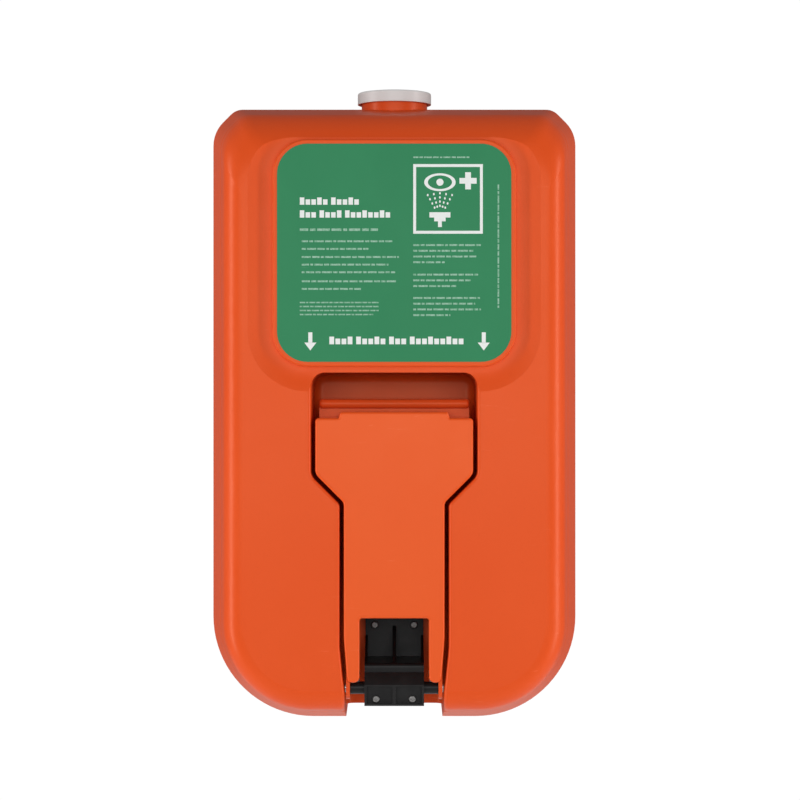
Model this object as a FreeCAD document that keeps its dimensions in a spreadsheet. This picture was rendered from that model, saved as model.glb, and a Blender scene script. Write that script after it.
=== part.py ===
"""Wall-hung, gravity-fed eyewash station with a pull-down arm.

A hollow moulded tank hangs on a steel wall bracket.  A T-shaped arm lies in a recess of the
tank's front; its rotor is the hinge axle and the valve at once, and two hoses inside the arm
feed two spray heads.  Lengths are in millimetres.  While the pieces are modelled, Z = 0 is the
tank's lowest point, Y = 0 the wall and the front faces -Y; each finished piece is then moved
down so that the origin is the centre of the wall bracket's bolt pattern.
"""
import FreeCAD, Part

import math
import os
import re

SIZES = {
    # tank
    "tank_width": 394,
    "tank_height": 660,
    "tank_depth": 250,
    "tank_wall": 4,
    "wall_gap": 12.5,
    "mount_height": 520,
    "parting_depth": 94,
    "front_draft": 12,
    "back_draft": 2,
    "back_round": 10,
    "edge_round": 18,
    "shoulder_round": 40,
    "base_corner": 109,
    "top_chamfer": 24.5,
    "chamfer_side_round": 36,
    "chamfer_top_round": 18,
    # label plateau
    "label_width": 246,
    "label_height": 229,
    "label_corner": 32,
    "label_base": 384,
    "label_thick": 0.5,
    "plateau_border": 5,
    "plateau_rise": 1,
    "cove_width": 27,
    "cove_depth": 5,
    # recess for the arm
    "head_width": 166,
    "stem_width": 106,
    "arm_gap": 4.3,
    "recess_top": 373,
    "recess_depth": 105,
    "base_arch": 13,
    "taper_top": 266,
    "foot_start": 84,
    "foot_taper": 5,
    "rim_round": 4,
    "floor_round": 10,
    # fill neck and cap
    "neck_place": 140,
    "neck_radius": 36,
    "neck_height": 17,
    "mouth_radius": 30,
    "cap_radius": 40.3,
    "cap_height": 12.4,
    "cap_wall": 3,
    "cap_round": 2,
    "vent_radius": 4,
    "vent_bore": 1.2,
    "gasket_thick": 1,
    # hinge and valve
    "hinge_height": 39.5,
    "hinge_setback": 22,
    "rotor_radius": 10,
    "stub_radius": 6.6,
    "pin_radius": 4,
    "valve_half": 12,
    "running_fit": 0.05,
    "seat_gap": 0.2,
    "bracket_width": 62.8,
    "bracket_base": 22,
    "bracket_height": 102,
    "plate_thick": 8,
    "block_rise": 43,
    "cap_depth": 16,
    "upper_screw_reach": 21.4,
    "upper_screw_height": 99,
    "lower_screw_reach": 19.3,
    "lower_screw_height": 28.5,
    "insert_radius": 4,
    "screw_radius": 2,
    "outlet_radius": 8,
    "outlet_bore": 5,
    "outlet_nut_across": 22,
    "outlet_nut_length": 6,
    "basket_radius": 12,
    "basket_wall": 1.2,
    "basket_length": 34,
    "slot_pitch": 5,
    "slot_height": 2.5,
    "insert_length": 12,
    "screw_head_rise": 2.6,
    "screw_head_round": 1.4,
    "screw_slot": 1,
    "gusset_top": 98,
    "gusset_thick": 3.6,
    "cheek_top": 88,
    "cheek_thick": 2.4,
    "block_round": 4,
    "pocket_depth": 5.5,
    "pocket_height": 18,
    # arm
    "arm_skin": 3.5,
    "arm_depth": 44,
    "arm_top": 331.5,
    "arm_tab_width": 113,
    "arm_shoulder": 6.5,
    "notch_width": 73,
    "notch_top": 114.5,
    "leg_end": 47,
    "lug_radius": 12,
    "lug_width": 4,
    "grip_height": 340,
    "grip_radius": 5,
    "arm_edge_round": 3,
    "boss_radius": 4.5,
    "arm_screw_radius": 1.6,
    # nozzles and hoses
    "nozzle_spacing": 104,
    "nozzle_height": 298,
    "head_radius": 23,
    "head_round": 2.5,
    "head_wall": 2.5,
    "head_cone": 12,
    "head_rim": 8,
    "spray_hole": 1.1,
    "nozzle_nut_across": 24,
    "barb_length": 12,
    "bend_radius": 60,
    "stem_radius": 8,
    "hose_radius": 4.4,
    "hose_bore": 3.2,
    "hose_reach": 41.3,
    # wall hanger
    "bracket_plate": 3,
    "hanger_width": 200,
    "hanger_height": 100,
    "bolt_spacing": 160,
    "bolt_rise": 60,
    "bolt_radius": 4,
    "hook_rise": 62,
    "cleat_screw_reach": 88,
    "cleat_screw_rise": 20,
    "cleat_screw_drop": 10,
    "bumper_reach": 110,
    "bumper_height": 106,
    "bumper_radius": 15,
}

doc = FreeCAD.newDocument("eyewash_station")
sheet = doc.addObject("Spreadsheet::Sheet", "Sizes")
for row, (alias, value) in enumerate(SIZES.items(), start=1):
    sheet.set(f"A{row}", alias)
    sheet.set(f"B{row}", str(value))
    sheet.setAlias(f"B{row}", alias)
doc.recompute()

nodes = []


def size(alias):
    """A driving dimension, as the sheet holds it."""
    return float(sheet.get(alias))


def bind(thing, **formulas):
    """Tie properties to the sheet; in a property's name two underscores stand for a dot."""
    for name, text in formulas.items():
        def with_sheet(word):
            return f"Sizes.{word.group()}" if word.group() in SIZES else word.group()

        formula = re.sub(r"[a-z][a-z_]+", with_sheet, str(text))
        thing.setExpression(name.replace("__", "."), formula)


def place(thing, x, y, z):
    bind(thing, Placement__Base__x=x, Placement__Base__y=y, Placement__Base__z=z)


def block(name, x, y, z, length, width, height):
    """A box from its low corner; every argument is a formula."""
    box = doc.addObject("Part::Box", name)
    bind(box, Length=length, Width=width, Height=height)
    place(box, x, y, z)
    return box


TURNS = {
    "up": FreeCAD.Rotation(),
    "right": FreeCAD.Rotation(FreeCAD.Vector(0, 1, 0), 90),
    "left": FreeCAD.Rotation(FreeCAD.Vector(0, 1, 0), -90),
    "front": FreeCAD.Rotation(FreeCAD.Vector(1, 0, 0), 90),
    "back": FreeCAD.Rotation(FreeCAD.Vector(1, 0, 0), -90),
}


def rod(name, way, x, y, z, radius, length):
    """A cylinder that starts at a point and runs up, right, left, to the front or to the back."""
    cylinder = doc.addObject("Part::Cylinder", name)
    cylinder.Placement.Rotation = TURNS[way]
    bind(cylinder, Radius=radius, Height=length)
    place(cylinder, x, y, z)
    return cylinder


def taper(name, way, x, y, z, first_radius, last_radius, length):
    """A cone frustum, placed as a rod is."""
    cone = doc.addObject("Part::Cone", name)
    cone.Placement.Rotation = TURNS[way]
    bind(cone, Radius1=first_radius, Radius2=last_radius, Height=length)
    place(cone, x, y, z)
    return cone


def ring(name, way, x, y, z, outer, inner, length):
    hole = rod(f"{name}_hole", way, x, y, z, inner, length)
    return cut(name, rod(f"{name}_rod", way, x, y, z, outer, length), hole)


def join(name, *shapes):
    fusion = doc.addObject("Part::MultiFuse", name)
    fusion.Shapes = list(shapes)
    fusion.Refine = True
    return fusion


def cut(name, base, *tools):
    tool = tools[0] if len(tools) == 1 else join(f"{name}_tools", *tools)
    result = doc.addObject("Part::Cut", name)
    result.Base = base
    result.Tool = tool
    result.Refine = True
    return result


def solid(name, shape):
    """A shape made in code, as an object of the document."""
    feature = doc.addObject("Part::Feature", name)
    feature.Shape = shape
    return feature


def rounded(name, base, radius, wanted):
    """Fillet the edges of base that wanted picks by their own box and the whole shape's box."""
    doc.recompute()
    whole = base.Shape.BoundBox
    edges = enumerate(base.Shape.Edges, start=1)
    picked = [n for n, edge in edges if wanted(edge.BoundBox, whole)]
    fillet = doc.addObject("Part::Fillet", name)
    fillet.Base = base
    fillet.Edges = [(n, radius, radius) for n in picked]
    return fillet


def on_top(edge, whole):
    return edge.ZMin > whole.ZMax - 0.01


def at_front(edge, whole):
    return edge.YMax < whole.YMin + 0.01


def at_back(edge, whole):
    return edge.YMin > whole.YMax - 0.01


def finish(thing, label):
    """Name a finished piece and move it so that the origin is at the wall bolts."""
    thing.Label = label
    bind(thing, Placement__Base__z="-mount_height")
    nodes.append(thing)


# Formulas that several pieces share.
FRONT = "(-wall_gap - tank_depth)"
BACK = "(-wall_gap)"
FLOOR = f"({FRONT} + recess_depth)"
HINGE_Y = f"({FRONT} + hinge_setback)"
PLATE_FRONT = f"({FLOOR} - plate_thick)"
TRAY_FRONT = f"({FRONT} + arm_depth)"
TRAY_BACK = f"({TRAY_FRONT} + arm_skin)"
NECK_Y = "(-neck_place)"

front = -size("wall_gap") - size("tank_depth")
back = -size("wall_gap")
wall = size("tank_wall")


# ---------------------------------------------------------------- outlines
def rounded_outline(corners, y):
    """A closed wire in the plane Y = y through corners (x, z, radius), each one rounded."""
    count = len(corners)
    points = [FreeCAD.Vector(x, y, z) for x, z, _ in corners]
    edges = []
    ends = []
    for n, (_, _, radius) in enumerate(corners):
        before = (points[n - 1] - points[n]).normalize()
        after = (points[(n + 1) % count] - points[n]).normalize()
        half = before.getAngle(after) / 2
        if radius <= 0:
            ends.append((points[n], None, points[n]))
            continue
        reach = radius / math.tan(half)
        middle_way = (before + after).normalize()
        middle = points[n] + middle_way * (radius / math.sin(half) - radius)
        ends.append((points[n] + before * reach, middle, points[n] + after * reach))
    for n, (start, middle, stop) in enumerate(ends):
        if middle is not None:
            edges.append(Part.Arc(start, middle, stop).toShape())
        next_start = ends[(n + 1) % count][0]
        if stop.distanceToPoint(next_start) > 1e-6:
            edges.append(Part.LineSegment(stop, next_start).toShape())
    return Part.Wire(edges)


def slab(corners, y, depth):
    """The rounded outline, extruded backwards from Y = y."""
    return Part.Face(rounded_outline(corners, y)).extrude(FreeCAD.Vector(0, depth, 0))


def mirrored(right_half):
    """The whole outline from its right half, listed from the bottom up."""
    return right_half + [(-x, z, radius) for x, z, radius in reversed(right_half)]


def round_inset(radius, depth):
    """How far a quarter-round edge stands in at a depth behind the face."""
    if depth >= radius:
        return 0.0
    return radius - math.sqrt(radius ** 2 - (radius - depth) ** 2)


def tank_section(side_inset, top_inset, shrink, y):
    """The tank's outline in one plane, after its sides and its top have moved in."""
    half = size("tank_width") / 2 - side_inset - shrink
    low = side_inset + shrink
    high = size("tank_height") - top_inset - shrink
    chamfer = size("top_chamfer")
    corner = max(size("base_corner") - side_inset - shrink, 12)
    return rounded_outline(
        mirrored([
            (half, low, corner),
            (half, high - chamfer, size("chamfer_side_round")),
            (half - chamfer, high, size("chamfer_top_round")),
        ]),
        y,
    )


def tank_body(shrink):
    """The tank's outer form, or with shrink its inner form, as one solid."""
    draft = math.tan(math.radians(size("front_draft")))
    back_draft = math.tan(math.radians(size("back_draft")))
    parting = size("parting_depth")
    edge = size("edge_round")
    shoulder = size("shoulder_round")
    back_edge = size("back_round")
    quarter = [math.radians(angle) for angle in (0, 12, 28, 45, 62, 78, 90)]

    def nose_section(depth):
        lean = (parting - depth) * draft
        side = round_inset(edge, depth) + lean
        top = round_inset(shoulder, depth) + lean
        return tank_section(side, top, shrink, front + shrink + depth)

    rear_depth = size("tank_depth") - 2 * shrink - parting

    def rear_section(height):
        lean = (rear_depth - height) * back_draft
        inset = round_inset(back_edge, height) + lean
        return tank_section(inset, inset, shrink, back - shrink - height)

    turn = [edge * (1 - math.cos(angle)) for angle in quarter]
    turn += [shoulder * 0.6, shoulder * 0.8, shoulder]
    back_turn = [back_edge * (1 - math.cos(angle)) for angle in quarter]
    lofts = [
        Part.makeLoft([nose_section(depth) for depth in turn], True, False),
        Part.makeLoft([nose_section(shoulder), nose_section(parting)], True, True),
        Part.makeLoft([nose_section(parting), rear_section(back_edge)], True, True),
        Part.makeLoft([rear_section(height) for height in reversed(back_turn)], True, False),
    ]
    return lofts[0].fuse(lofts[1:])


def recess_corners(grow):
    """The recess's outline, grown outwards by a distance; open at the bottom."""
    half_head = size("head_width") / 2 + size("arm_gap") + grow
    half_stem = size("stem_width") / 2 + size("arm_gap") + grow
    top = size("recess_top") + grow
    taper_top = size("taper_top") - size("arm_gap") * 0.41 - grow * 0.41
    foot = size("foot_taper")
    return mirrored([
        (half_stem - foot, -20, 0),
        (half_stem - foot, 34, 40),
        (half_stem, size("foot_start"), 60),
        (half_stem, taper_top - (half_head - half_stem), 8),
        (half_head, taper_top, 14),
        (half_head, top, 14 + grow),
    ])


def arm_corners(inset):
    """The arm's outline with its notch, drawn in by a distance."""
    half_head = size("head_width") / 2 - inset
    half_stem = size("stem_width") / 2 - inset
    half_notch = size("notch_width") / 2 + inset
    half_tab = size("arm_tab_width") / 2 - inset
    top = size("arm_top") - inset
    shoulder = top - size("arm_shoulder")
    foot = size("foot_taper")
    taper_top = size("taper_top") + inset * 0.41
    leg = size("leg_end") + inset
    notch = size("notch_top") + inset
    round_leg = max(6 - inset, 1.5)
    return mirrored([
        (half_notch, notch, 3 + inset / 2),
        (half_notch, leg, round_leg),
        (half_stem - foot * 0.7, leg, round_leg),
        (half_stem, size("foot_start") + 10, 60),
        (half_stem, taper_top - (half_head - half_stem), 8),
        (half_head, taper_top, 12),
        (half_head, shoulder, max(4 - inset, 1)),
        (half_tab + 2, shoulder, 1),
        (half_tab, top, max(3 - inset, 1)),
    ])


# ---------------------------------------------------------------- tank
label_half = size("label_width") / 2 + size("plateau_border")
label_low = size("label_base") - size("plateau_border")
label_high = size("label_base") + size("label_height") + size("plateau_border")
plateau_corner = size("label_corner") + size("plateau_border")


def plateau_corners(grow):
    """The label plateau's outline, grown outwards by a distance."""
    radius = plateau_corner + grow
    return mirrored([
        (label_half + grow, label_low - grow, radius),
        (label_half + grow, label_high + grow, radius),
    ])


def cove_cutter():
    """The shallow trough around the label plateau: deep at the plateau, fading outwards.

    It starts a little inside the plateau, whose pad then covers its inner wall.
    """
    width = size("cove_width")
    depth = size("cove_depth")
    hidden = 4
    path = rounded_outline(plateau_corners(-hidden), front)
    foot = FreeCAD.Vector(label_half - hidden, front, (label_low + label_high) / 2)
    lip = foot + FreeCAD.Vector(0, -3, 0)
    start = foot + FreeCAD.Vector(0, depth * 0.8, 0)
    deep = foot + FreeCAD.Vector(hidden + 3, depth, 0)
    fade = foot + FreeCAD.Vector(hidden + width * 0.55, depth * 0.6, 0)
    far = foot + FreeCAD.Vector(hidden + width, -0.2, 0)
    over = far + FreeCAD.Vector(1, -3, 0)
    floor_curve = Part.BSplineCurve()
    floor_curve.interpolate([start, deep, fade, far])
    profile = Part.Wire([
        Part.LineSegment(lip, start).toShape(),
        floor_curve.toShape(),
        Part.LineSegment(far, over).toShape(),
        Part.LineSegment(over, lip).toShape(),
    ])
    return path.makePipeShell([profile], True, False)


def trough_backing():
    """What the cavity leaves behind the trough, so that the wall there keeps its thickness."""
    depth = size("cove_depth") + wall
    outer = slab(plateau_corners(size("cove_width") * 0.7), front - 1, depth + 1)
    return outer.cut(slab(plateau_corners(-2 * wall), front - 2, depth + 3))


def neck(radius, low, height):
    return Part.makeCylinder(radius, height, FreeCAD.Vector(0, -size("neck_place"), low))


def tank_shape():
    outer = tank_body(0)
    inner = tank_body(wall)
    neck_base = size("tank_height") - 30
    neck_top = size("tank_height") + size("neck_height")
    outer = outer.fuse(neck(size("neck_radius"), neck_base, neck_top - neck_base))
    recess = slab(recess_corners(0), front - 30, size("recess_depth") + 30)
    recess = recess.makeFillet(size("floor_round"), edges_in_plane(recess, front + size("recess_depth")))
    recess_skin = slab(recess_corners(wall), front - 30, size("recess_depth") + 30 + wall)
    arch = size("base_arch")
    cavity = inner.cut(recess_skin).cut(base_channel(wall, arch + wall)).cut(trough_backing())
    mouth_low = size("tank_height") - 2 * wall - 12
    cavity = cavity.fuse(neck(size("mouth_radius"), mouth_low, neck_top - mouth_low + 5))
    shell = outer.cut(recess).cut(base_channel(0, arch))
    shell = shell.makeFillet(size("rim_round"), rim_edges(shell))
    shell.fix(0.01, 0.001, 0.1)
    plateau_front = front - size("plateau_rise")
    plateau = slab(plateau_corners(0), plateau_front, 20)
    plateau = plateau.makeFillet(2, edges_in_plane(plateau, plateau_front))
    plateau = plateau.cut(slab(recess_corners(0), front - 30, size("recess_depth")))
    shell = shell.cut(cove_cutter()).fuse(plateau)
    shell = shell.cut(cavity)
    for x, z in insert_places():
        shell = shell.cut(floor_hole(x, z, size("insert_radius") + size("running_fit")))
    for x, z in cleat_screw_points():
        start = FreeCAD.Vector(x, back - wall - 5, z)
        radius = size("screw_radius") + size("running_fit")
        shell = shell.cut(Part.makeCylinder(radius, wall + 10, start, FreeCAD.Vector(0, 1, 0)))
    return shell.cut(floor_hole(0, size("hinge_height"), size("outlet_radius") + size("seat_gap")))


def cleat_screw_points():
    """Where the cleat is screwed to the tank's back, as (x, z)."""
    reach = size("cleat_screw_reach")
    middle = size("mount_height") - size("cleat_screw_drop")
    rise = size("cleat_screw_rise")
    return [(side * reach, middle + level * rise) for side in (-1, 1) for level in (-1, 1)]


def insert_places():
    """Where the bracket's screws enter the recess floor, as (x, z)."""
    upper = [(side * size("upper_screw_reach"), size("upper_screw_height")) for side in (-1, 1)]
    lower = [(side * size("lower_screw_reach"), size("lower_screw_height")) for side in (-1, 1)]
    return upper + lower


def floor_hole(x, z, radius):
    """A hole along Y through the recess floor."""
    start = FreeCAD.Vector(x, front + size("recess_depth") - 5, z)
    return Part.makeCylinder(radius, wall + 10, start, FreeCAD.Vector(0, 1, 0))


def base_channel(grow, height):
    """The arch under the tank, behind the recess."""
    width = size("stem_width") - 2 * size("foot_taper") + 2 * size("arm_gap") + 2 * grow
    corner = FreeCAD.Vector(-width / 2, front + 20, -20)
    return Part.makeBox(width, size("tank_depth") + 20, height + 20, corner)


def rim_edges(shape):
    """The edges where the recess's side walls meet the front face."""
    found = []
    for edge in shape.Edges:
        ends = [vertex.Point for vertex in edge.Vertexes]
        on_front = all(abs(point.y - front) < 1e-3 for point in ends)
        near_middle = all(abs(point.x) < size("head_width") / 2 + 10 for point in ends)
        in_height = all(40 < point.z < size("recess_top") + 1 for point in ends)
        if on_front and near_middle and in_height:
            found.append(edge)
    return found


def edges_in_plane(shape, y):
    """The edges that lie whole in the plane Y = y."""
    return [
        edge for edge in shape.Edges
        if all(abs(vertex.Point.y - y) < 1e-3 for vertex in edge.Vertexes)
    ]


finish(solid("tank_shell_body", tank_shape()), "tank_shell")

label_shape = slab(
    mirrored([
        (size("label_width") / 2, size("label_base"), size("label_corner")),
        (size("label_width") / 2, size("label_base") + size("label_height"), size("label_corner")),
    ]),
    front - size("plateau_rise") - size("label_thick"),
    size("label_thick"),
)
finish(solid("label_sheet", label_shape), "instruction_label")

# ---------------------------------------------------------------- fill neck's cap
NECK_TOP = "(tank_height + neck_height)"
CEILING = f"({NECK_TOP} + gasket_thick + 2 * seat_gap)"
CAP_TOP = f"({CEILING} + 0.8 * cap_wall)"
CAP_LOW = f"({CAP_TOP} - cap_height)"
cap_blank = rod("cap_blank", "up", "0", NECK_Y, CAP_LOW, "cap_radius", "cap_height")
cap_blank = rounded("cap_rounded", cap_blank, size("cap_round"), on_top)
cap_space = rod(
    "cap_space", "up", "0", NECK_Y, f"{CAP_LOW} - 1", "cap_radius - cap_wall", f"{CEILING} - {CAP_LOW} + 1"
)
vent_hole = rod("vent_hole", "up", "0", NECK_Y, f"{CEILING} - 1", "vent_radius", "10")
finish(cut("cap_cut", cap_blank, cap_space, vent_hole), "fill_cap")

gasket_ring = ring(
    "gasket_ring", "up", "0", NECK_Y, f"{NECK_TOP} + seat_gap",
    "neck_radius + 0.6", "mouth_radius - 1", "gasket_thick",
)
finish(gasket_ring, "cap_gasket")

vent_stem = rod(
    "vent_stem", "up", "0", NECK_Y, f"{CEILING} - 4", "vent_radius - running_fit", "0.8 * cap_wall + 4"
)
vent_head = rod("vent_head", "up", "0", NECK_Y, CAP_TOP, "2 * vent_radius", "1.5")
vent_air = rod("vent_air", "up", "0", NECK_Y, f"{CEILING} - 5", "vent_bore", "20")
finish(cut("vent_cut", join("vent_joined", vent_stem, vent_head), vent_air), "vent_plug")

# ---------------------------------------------------------------- wall hanger
HOOK_TOP = "(mount_height + hook_rise)"
WEB_LOW = "(mount_height + 0.62 * hook_rise)"
hanger_plate = block(
    "hanger_plate", "-hanger_width / 2", "-bracket_plate", "mount_height - hanger_height / 2",
    "hanger_width", "bracket_plate", f"{WEB_LOW} - mount_height + hanger_height / 2 + bracket_plate",
)
TONGUE_Y = "(-2 * bracket_plate - 2 * seat_gap - bracket_plate)"
hanger_web = block(
    "hanger_web", "-hanger_width / 2", TONGUE_Y, WEB_LOW, "hanger_width", f"-{TONGUE_Y}", "bracket_plate"
)
hanger_tongue = block(
    "hanger_tongue", "-hanger_width / 2", TONGUE_Y, WEB_LOW,
    "hanger_width", "bracket_plate", f"{HOOK_TOP} - {WEB_LOW}",
)
bolt_holes = []
for side in (-1, 1):
    for level in (-1, 1):
        bolt_holes.append(rod(
            "bolt_hole", "front", f"{side} * bolt_spacing / 2", "20",
            f"mount_height + {level} * bolt_rise / 2", "bolt_radius", "20 + 2 * bracket_plate",
        ))
hanger = join("hanger_joined", hanger_plate, hanger_web, hanger_tongue)
finish(cut("hanger_cut", hanger, *bolt_holes), "wall_bracket")

CLEAT_FRONT = BACK
CLEAT_BACK = f"({TONGUE_Y} - seat_gap)"
CLEAT_LOW = "(mount_height - hanger_height / 2 + 10)"
cleat_base = block(
    "cleat_base", "-hanger_width / 2", CLEAT_FRONT, CLEAT_LOW,
    "hanger_width", f"{CLEAT_BACK} - {CLEAT_FRONT}", f"{HOOK_TOP} + seat_gap + bracket_plate - {CLEAT_LOW}",
)
cleat_web = block(
    "cleat_web", "-hanger_width / 2", CLEAT_FRONT, f"{HOOK_TOP} + seat_gap",
    "hanger_width", f"-{CLEAT_FRONT} - bracket_plate - seat_gap", "bracket_plate",
)
cleat_hook = block(
    "cleat_hook", "-hanger_width / 2", "-2 * bracket_plate - seat_gap", f"{WEB_LOW} + bracket_plate + 3",
    "hanger_width", "bracket_plate", f"{HOOK_TOP} - {WEB_LOW} - 3",
)
cleat_holes = []
cleat_screw_parts = []
for x, z in cleat_screw_points():
    cleat_holes.append(rod("cleat_hole", "front", str(x), "0", str(z), "screw_radius + seat_gap", "40"))
    cleat_screw_parts += [
        rod(
            "cleat_shank", "front", str(x), CLEAT_BACK, str(z),
            "screw_radius", f"{CLEAT_BACK} - {BACK} + tank_wall",
        ),
        rod("cleat_head", "front", str(x), f"{CLEAT_BACK} + 2.4", str(z), "2 * screw_radius", "2.4"),
    ]
cleat = join("cleat_joined", cleat_base, cleat_web, cleat_hook)
finish(cut("cleat_cut", cleat, *cleat_holes), "tank_cleat")
finish(join("cleat_screws_joined", *cleat_screw_parts), "cleat_screws")

bumpers = [
    rod("bumper", "front", f"{side} * bumper_reach", "0", "bumper_height", "bumper_radius", "wall_gap")
    for side in (-1, 1)
]
finish(join("bumpers_joined", *bumpers), "wall_bumpers")

# ---------------------------------------------------------------- outlet through the recess floor
HINGE_Z = "hinge_height"
outlet_tube = ring(
    "outlet_tube", "back", "0", f"{FLOOR} - plate_thick - 6", HINGE_Z,
    "outlet_radius", "outlet_bore", "plate_thick + tank_wall + 30",
)
finish(outlet_tube, "outlet_fitting")
seal = ring(
    "outlet_seal_ring", "front", "0", FLOOR, HINGE_Z,
    "outlet_radius + 4", "outlet_radius + seat_gap", "2",
)
finish(seal, "outlet_seal")


def hexagon(name, way, x, y, z, across, bore, length):
    """A nut: a hexagonal prism with a round hole."""
    prism = doc.addObject("Part::Prism", f"{name}_prism")
    prism.Polygon = 6
    prism.Placement.Rotation = TURNS[way]
    bind(prism, Circumradius=f"({across}) / 2 / cos(30)", Height=length)
    place(prism, x, y, z)
    return cut(name, prism, rod(f"{name}_bore", way, x, y, z, bore, length))


nut = hexagon(
    "nut", "back", "0", f"{FLOOR} + tank_wall", HINGE_Z,
    "outlet_nut_across", "outlet_radius + running_fit", "outlet_nut_length",
)
finish(nut, "outlet_nut")
BASKET_Y = f"({FLOOR} + tank_wall + outlet_nut_length + seat_gap)"
basket_outer = rod("basket_outer", "back", "0", BASKET_Y, HINGE_Z, "basket_radius", "basket_length")
basket_space = rod(
    "basket_space", "back", "0", f"{BASKET_Y} + 1.25 * basket_wall", HINGE_Z,
    "basket_radius - basket_wall", "basket_length - 2.5 * basket_wall",
)
basket_seat = rod("basket_seat", "back", "0", f"{BASKET_Y} - 1", HINGE_Z, "outlet_radius + running_fit", "5")
basket_slots = [
    block(
        "basket_slot", "-2 * basket_radius",
        f"{BASKET_Y} + 6 + {step} * slot_pitch", f"{HINGE_Z} - basket_radius / 2",
        "4 * basket_radius", "slot_height", "basket_radius",
    )
    for step in range(5)
]
finish(cut("basket_cut", basket_outer, basket_space, basket_seat, *basket_slots), "strainer")

# ---------------------------------------------------------------- valve body and bearing cap
HALF = "(bracket_width / 2)"
BLOCK_TOP = "(bracket_base + block_rise)"


def profile_plate(points, x, thickness):
    """A plate in the YZ plane, from its (y, z) corners."""
    corners = [FreeCAD.Vector(x, y, z) for y, z in points]
    outline = Part.makePolygon(corners + corners[:1])
    return Part.Face(outline).extrude(FreeCAD.Vector(thickness, 0, 0))


half = size("bracket_width") / 2
plate_front = front + size("recess_depth") - size("plate_thick")
hinge_y = front + size("hinge_setback")
block_top = size("bracket_base") + size("block_rise")


def wedge(top, set_back):
    """The side view of a rib that stands on the block and leans on the plate."""
    toe = hinge_y + set_back
    sunk = block_top - 5
    return [(plate_front, sunk), (plate_front, top), (toe, block_top), (toe, sunk)]


gusset = size("gusset_thick")
cheek = size("cheek_thick")
gusset_profile = wedge(size("gusset_top"), 8)
cheek_profile = wedge(size("cheek_top"), 6)
base_plate = block(
    "base_plate", f"-{HALF}", PLATE_FRONT, "bracket_base", "bracket_width", "plate_thick", "bracket_height"
)
valve_block = block(
    "valve_block", f"-{HALF}", HINGE_Y, "bracket_base",
    "bracket_width", f"{PLATE_FRONT} - {HINGE_Y}", "block_rise",
)
valve_block = rounded(
    "valve_block_rounded", valve_block, size("block_round"),
    lambda edge, whole: at_front(edge, whole) and on_top(edge, whole),
)
ribs = [
    solid("gusset", profile_plate(gusset_profile, -gusset / 2, gusset)),
    solid("cheek", profile_plate(cheek_profile, -half, cheek)),
    solid("cheek", profile_plate(cheek_profile, half - cheek, cheek)),
]


def bearing_space(name):
    """The hole that the rotor turns in."""
    wide = rod(
        f"{name}_wide", "right", "-valve_half - seat_gap", HINGE_Y, HINGE_Z,
        "rotor_radius + running_fit", "2 * valve_half + 2 * seat_gap",
    )
    narrow = rod(
        f"{name}_narrow", "right", f"-{HALF} - 5", HINGE_Y, HINGE_Z,
        "stub_radius + running_fit", "bracket_width + 10",
    )
    return join(name, wide, narrow)


def screw_holes(name, kinds):
    holes = []
    for kind in kinds:
        for side in (-1, 1):
            holes.append(rod(
                f"{name}_hole", "back",
                f"{side} * {kind}_screw_reach", f"{FRONT} - 10", f"{kind}_screw_height",
                "screw_radius + seat_gap", "recess_depth + 20",
            ))
    return holes


channel = rod("channel", "back", "0", HINGE_Y, HINGE_Z, "outlet_bore", f"{FLOOR} - {HINGE_Y} + 5")
outlet_seat = rod(
    "outlet_seat", "front", "0", f"{FLOOR} + 1", HINGE_Z,
    "outlet_radius + running_fit", "plate_thick + 7 + seat_gap",
)
seal_seat = rod(
    "seal_seat", "front", "0", f"{FLOOR} + 1", HINGE_Z, "outlet_radius + 4 + seat_gap", "3 + seat_gap"
)
valve_solid = join("valve_joined", base_plate, valve_block, *ribs)
finish(
    cut(
        "valve_cut", valve_solid, bearing_space("body_bearing"), channel, outlet_seat, seal_seat,
        *screw_holes("body", ["upper", "lower"]),
    ),
    "valve_body",
)

cap_front = hinge_y - size("cap_depth")
bearing_profile = [
    (hinge_y, size("bracket_base")), (cap_front, size("bracket_base")),
    (cap_front, size("bracket_base") + 22),
    (hinge_y - 5, size("bracket_base") + 34), (hinge_y, size("bracket_base") + 34),
]
bearing_blank = solid("bearing_blank", profile_plate(bearing_profile, -half, 2 * half))
pockets = [
    block(
        "pocket", low, f"{HINGE_Y} - cap_depth - 5", "bracket_base + cheek_thick",
        f"{HALF} - cheek_thick - gusset_thick / 2", "5 + pocket_depth", "pocket_height",
    )
    for low in ("gusset_thick / 2", f"-{HALF} + cheek_thick")
]
finish(
    cut("bearing_cut", bearing_blank, bearing_space("cap_bearing"), *pockets, *screw_holes("cap", ["lower"])),
    "bearing_cap",
)

inserts = []
for kind in ("upper", "lower"):
    for side in (-1, 1):
        x, z = f"{side} * {kind}_screw_reach", f"{kind}_screw_height"
        sleeve = rod("insert", "back", x, FLOOR, z, "insert_radius", "insert_length")
        thread = rod("insert_bore", "back", x, FLOOR, z, "screw_radius + running_fit", "insert_length - 2")
        inserts.append(cut("insert_cut", sleeve, thread))
finish(join("inserts_joined", *inserts), "threaded_inserts")


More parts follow.
